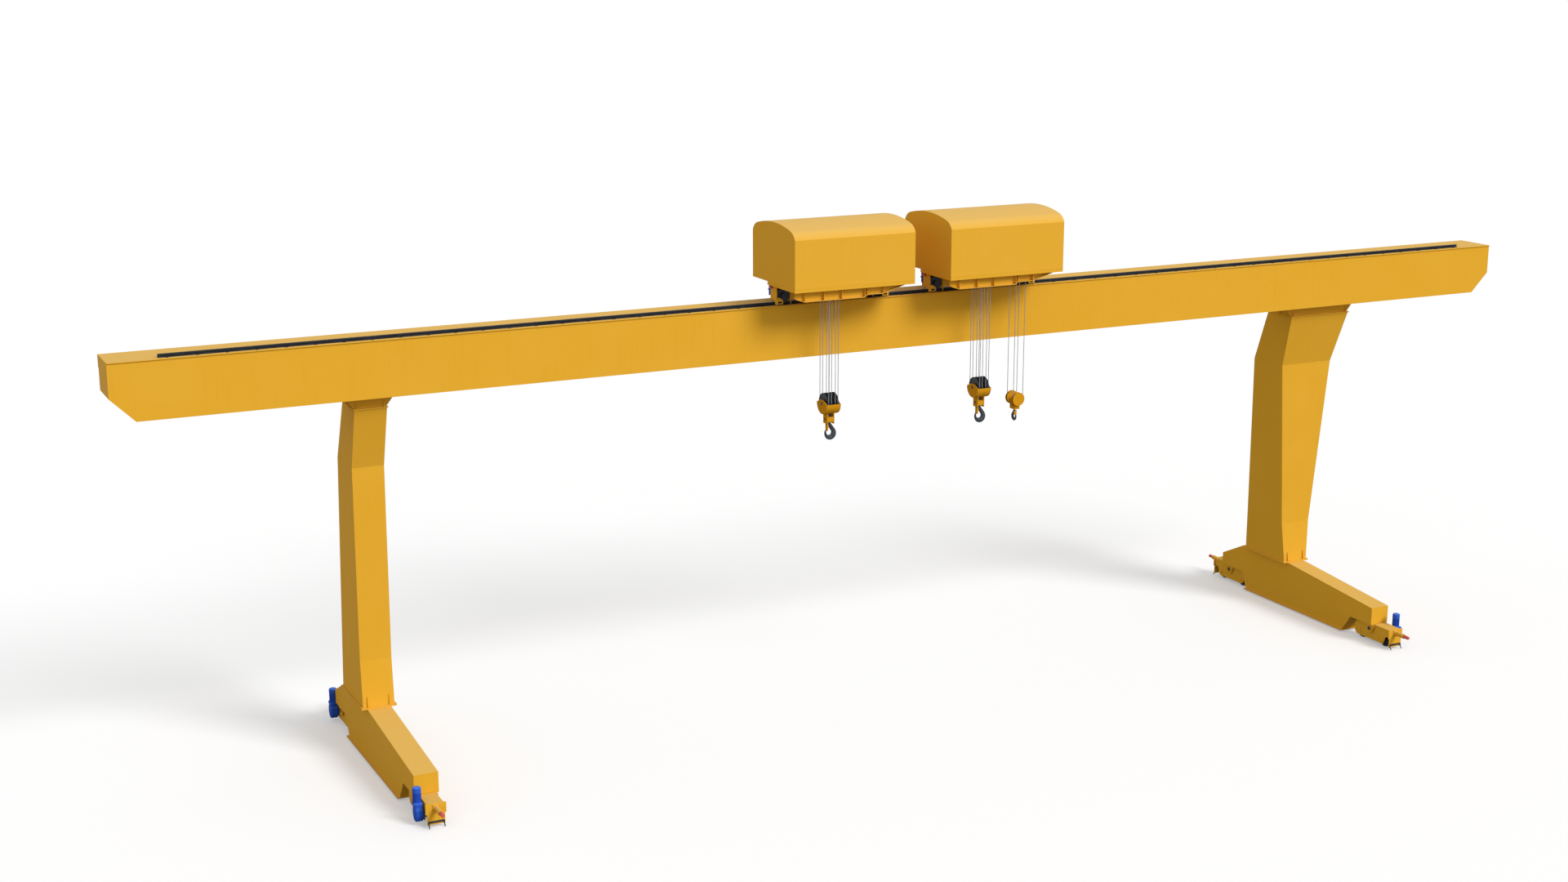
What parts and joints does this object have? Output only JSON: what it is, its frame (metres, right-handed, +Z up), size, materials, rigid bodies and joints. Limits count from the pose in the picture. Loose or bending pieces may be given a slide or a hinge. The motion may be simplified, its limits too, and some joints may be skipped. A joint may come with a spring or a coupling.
{
  "type": "gantry crane",
  "caption": "Box-girder gantry crane on bent box legs and rail bogies, with hooded hoist trolleys whose hook blocks hang in front of the girder.",
  "frame": {"origin": "on the floor under the lowest points of the travel wheels, midway between the legs and between the buffer tips", "axes": "+X along the girder towards the rigid leg, +Y from the hook side towards the back, +Z up"},
  "size_m": [36, 8.2, 11.4947],
  "materials": {
    "crane_yellow": "semi-gloss",
    "block_yellow": "semi-gloss",
    "motor_blue": "semi-gloss",
    "dark_steel": "satin",
    "wire_rope": "greased wire",
    "buffer_red": "matt"
  },
  "bodies": {
    "gantry": {"main_girder": "crane_yellow", "guide_strip": "crane_yellow", "trolley_rail": "dark_steel", "rigid_leg": "crane_yellow", "flexible_leg": "crane_yellow", "rigid_leg_head": "crane_yellow", "flexible_leg_head": "crane_yellow", "right_ground_beam": "crane_yellow", "left_ground_beam": "crane_yellow"},
    "left_front_bogie": {"left_front_bogie_frame": "crane_yellow", "left_front_drive": "motor_blue", "left_front_buffer": "crane_yellow"},
    "left_front_outer_wheel": {"left_front_outer_wheel": "dark_steel"},
    "left_front_inner_wheel": {"left_front_inner_wheel": "dark_steel"},
    "left_rear_bogie": {"left_rear_bogie_frame": "crane_yellow", "left_rear_drive": "motor_blue", "left_rear_buffer": "crane_yellow"},
    "left_rear_outer_wheel": {"left_rear_outer_wheel": "dark_steel"},
    "left_rear_inner_wheel": {"left_rear_inner_wheel": "dark_steel"},
    "right_front_bogie": {"right_front_bogie_frame": "crane_yellow", "right_front_drive": "motor_blue", "right_front_buffer": "crane_yellow"},
    "right_front_outer_wheel": {"right_front_outer_wheel": "dark_steel"},
    "right_front_inner_wheel": {"right_front_inner_wheel": "dark_steel"},
    "right_rear_bogie": {"right_rear_bogie_frame": "crane_yellow", "right_rear_drive": "motor_blue", "right_rear_buffer": "crane_yellow"},
    "right_rear_outer_wheel": {"right_rear_outer_wheel": "dark_steel"},
    "right_rear_inner_wheel": {"right_rear_inner_wheel": "dark_steel"},
    "trolley_1": {"trolley_1_frame": "crane_yellow", "trolley_1_hood": "crane_yellow", "trolley_1_wheels": "dark_steel", "trolley_1_drive": "motor_blue", "trolley_1_buffers": "buffer_red", "trolley_1_winch": "dark_steel", "main_ropes_1": "wire_rope"},
    "main_block_1": {"main_block_1": "block_yellow"},
    "main_sheaves_1": {"main_sheaves_1": "dark_steel"},
    "main_hook_1": {"main_hook_1": "dark_steel"},
    "main_latch_1": {"main_latch_1": "block_yellow"},
    "trolley_2": {"trolley_2_frame": "crane_yellow", "trolley_2_hood": "crane_yellow", "trolley_2_wheels": "dark_steel", "trolley_2_drive": "motor_blue", "trolley_2_buffers": "buffer_red", "trolley_2_winch": "dark_steel", "main_ropes_2": "wire_rope", "aux_ropes": "wire_rope"},
    "main_block_2": {"main_block_2": "block_yellow"},
    "main_sheaves_2": {"main_sheaves_2": "dark_steel"},
    "main_hook_2": {"main_hook_2": "dark_steel"},
    "main_latch_2": {"main_latch_2": "block_yellow"},
    "aux_block": {"aux_block": "block_yellow"},
    "aux_sheaves": {"aux_sheaves": "dark_steel"},
    "aux_hook": {"aux_hook": "dark_steel"},
    "aux_latch": {"aux_latch": "block_yellow"}
  },
  "joints": [
    {"name": "left_front_bogie_rock", "type": "hinge", "parent": "gantry", "child": "left_front_bogie", "pos_m": [-12.64, -2.9025, 0.385], "axis": [1, 0, 0], "range_deg": [-1.5, 1.5]},
    {"name": "left_front_driven_wheel_turn", "type": "hinge", "parent": "left_front_bogie", "child": "left_front_outer_wheel", "pos_m": [-12.64, -3.3225, 0.215], "axis": [1, 0, 0], "continuous": true},
    {"name": "left_front_idle_wheel_turn", "type": "hinge", "parent": "left_front_bogie", "child": "left_front_inner_wheel", "pos_m": [-12.64, -2.4825, 0.215], "axis": [1, 0, 0], "continuous": true},
    {"name": "left_rear_bogie_rock", "type": "hinge", "parent": "gantry", "child": "left_rear_bogie", "pos_m": [-12.64, 2.9025, 0.385], "axis": [1, 0, 0], "range_deg": [-1.5, 1.5]},
    {"name": "left_rear_driven_wheel_turn", "type": "hinge", "parent": "left_rear_bogie", "child": "left_rear_outer_wheel", "pos_m": [-12.64, 3.3225, 0.215], "axis": [1, 0, 0], "continuous": true},
    {"name": "left_rear_idle_wheel_turn", "type": "hinge", "parent": "left_rear_bogie", "child": "left_rear_inner_wheel", "pos_m": [-12.64, 2.4825, 0.215], "axis": [1, 0, 0], "continuous": true},
    {"name": "right_front_bogie_rock", "type": "hinge", "parent": "gantry", "child": "right_front_bogie", "pos_m": [12.64, -2.9025, 0.385], "axis": [1, 0, 0], "range_deg": [-1.5, 1.5]},
    {"name": "right_front_driven_wheel_turn", "type": "hinge", "parent": "right_front_bogie", "child": "right_front_outer_wheel", "pos_m": [12.64, -3.3225, 0.215], "axis": [1, 0, 0], "continuous": true},
    {"name": "right_front_idle_wheel_turn", "type": "hinge", "parent": "right_front_bogie", "child": "right_front_inner_wheel", "pos_m": [12.64, -2.4825, 0.215], "axis": [1, 0, 0], "continuous": true},
    {"name": "right_rear_bogie_rock", "type": "hinge", "parent": "gantry", "child": "right_rear_bogie", "pos_m": [12.64, 2.9025, 0.385], "axis": [1, 0, 0], "range_deg": [-1.5, 1.5]},
    {"name": "right_rear_driven_wheel_turn", "type": "hinge", "parent": "right_rear_bogie", "child": "right_rear_outer_wheel", "pos_m": [12.64, 3.3225, 0.215], "axis": [1, 0, 0], "continuous": true},
    {"name": "right_rear_idle_wheel_turn", "type": "hinge", "parent": "right_rear_bogie", "child": "right_rear_inner_wheel", "pos_m": [12.64, 2.4825, 0.215], "axis": [1, 0, 0], "continuous": true},
    {"name": "trolley_1_travel", "type": "slide", "parent": "gantry", "child": "trolley_1", "axis": [-1, 0, 0], "range_m": [-0.42, 13.447]},
    {"name": "main_hoist_1", "type": "slide", "parent": "trolley_1", "child": "main_block_1", "axis": [0, 0, -1], "range_m": [-1.7, 6], "deforming": ["main_ropes_1"]},
    {"name": "main_sheaves_1_turn", "type": "hinge", "parent": "main_block_1", "child": "main_sheaves_1", "pos_m": [-2.243, -0.9425, 7.36], "axis": [1, 0, 0], "continuous": true},
    {"name": "main_hook_1_swivel", "type": "hinge", "parent": "main_block_1", "child": "main_hook_1", "pos_m": [-2.243, -0.9425, 6.902], "axis": [0, 0, 1], "continuous": true},
    {"name": "main_latch_1_swing", "type": "hinge", "parent": "main_hook_1", "child": "main_latch_1", "pos_m": [-2.295, -0.9425, 6.86], "axis": [0, -1, 0], "range_deg": [0, 25], "stiffness_Nm_per_rad": 0.4, "springref_deg": -17.19},
    {"name": "trolley_2_travel", "type": "slide", "parent": "gantry", "child": "trolley_2", "axis": [1, 0, 0], "range_m": [-0.42, 13.1]},
    {"name": "main_hoist_2", "type": "slide", "parent": "trolley_2", "child": "main_block_2", "axis": [0, 0, -1], "range_m": [-1.7, 6], "deforming": ["main_ropes_2"]},
    {"name": "main_sheaves_2_turn", "type": "hinge", "parent": "main_block_2", "child": "main_sheaves_2", "pos_m": [1.75, -0.9425, 7.36], "axis": [1, 0, 0], "continuous": true},
    {"name": "main_hook_2_swivel", "type": "hinge", "parent": "main_block_2", "child": "main_hook_2", "pos_m": [1.75, -0.9425, 6.902], "axis": [0, 0, 1], "continuous": true},
    {"name": "main_latch_2_swing", "type": "hinge", "parent": "main_hook_2", "child": "main_latch_2", "pos_m": [1.698, -0.9425, 6.86], "axis": [0, -1, 0], "range_deg": [0, 25], "stiffness_Nm_per_rad": 0.4, "springref_deg": -17.19},
    {"name": "aux_hoist", "type": "slide", "parent": "trolley_2", "child": "aux_block", "axis": [0, 0, -1], "range_m": [-1.7, 6], "deforming": ["aux_ropes"]},
    {"name": "aux_sheaves_turn", "type": "hinge", "parent": "aux_block", "child": "aux_sheaves", "pos_m": [2.755, -0.9425, 6.984], "axis": [0, 1, 0], "continuous": true},
    {"name": "aux_hook_swivel", "type": "hinge", "parent": "aux_block", "child": "aux_hook", "pos_m": [2.755, -0.9425, 6.7], "axis": [0, 0, 1], "continuous": true},
    {"name": "aux_latch_swing", "type": "hinge", "parent": "aux_hook", "child": "aux_latch", "pos_m": [2.755, -0.97786, 6.6852], "axis": [1, 0, 0], "range_deg": [0, 25], "stiffness_Nm_per_rad": 0.15, "springref_deg": -17.19}
  ]
}
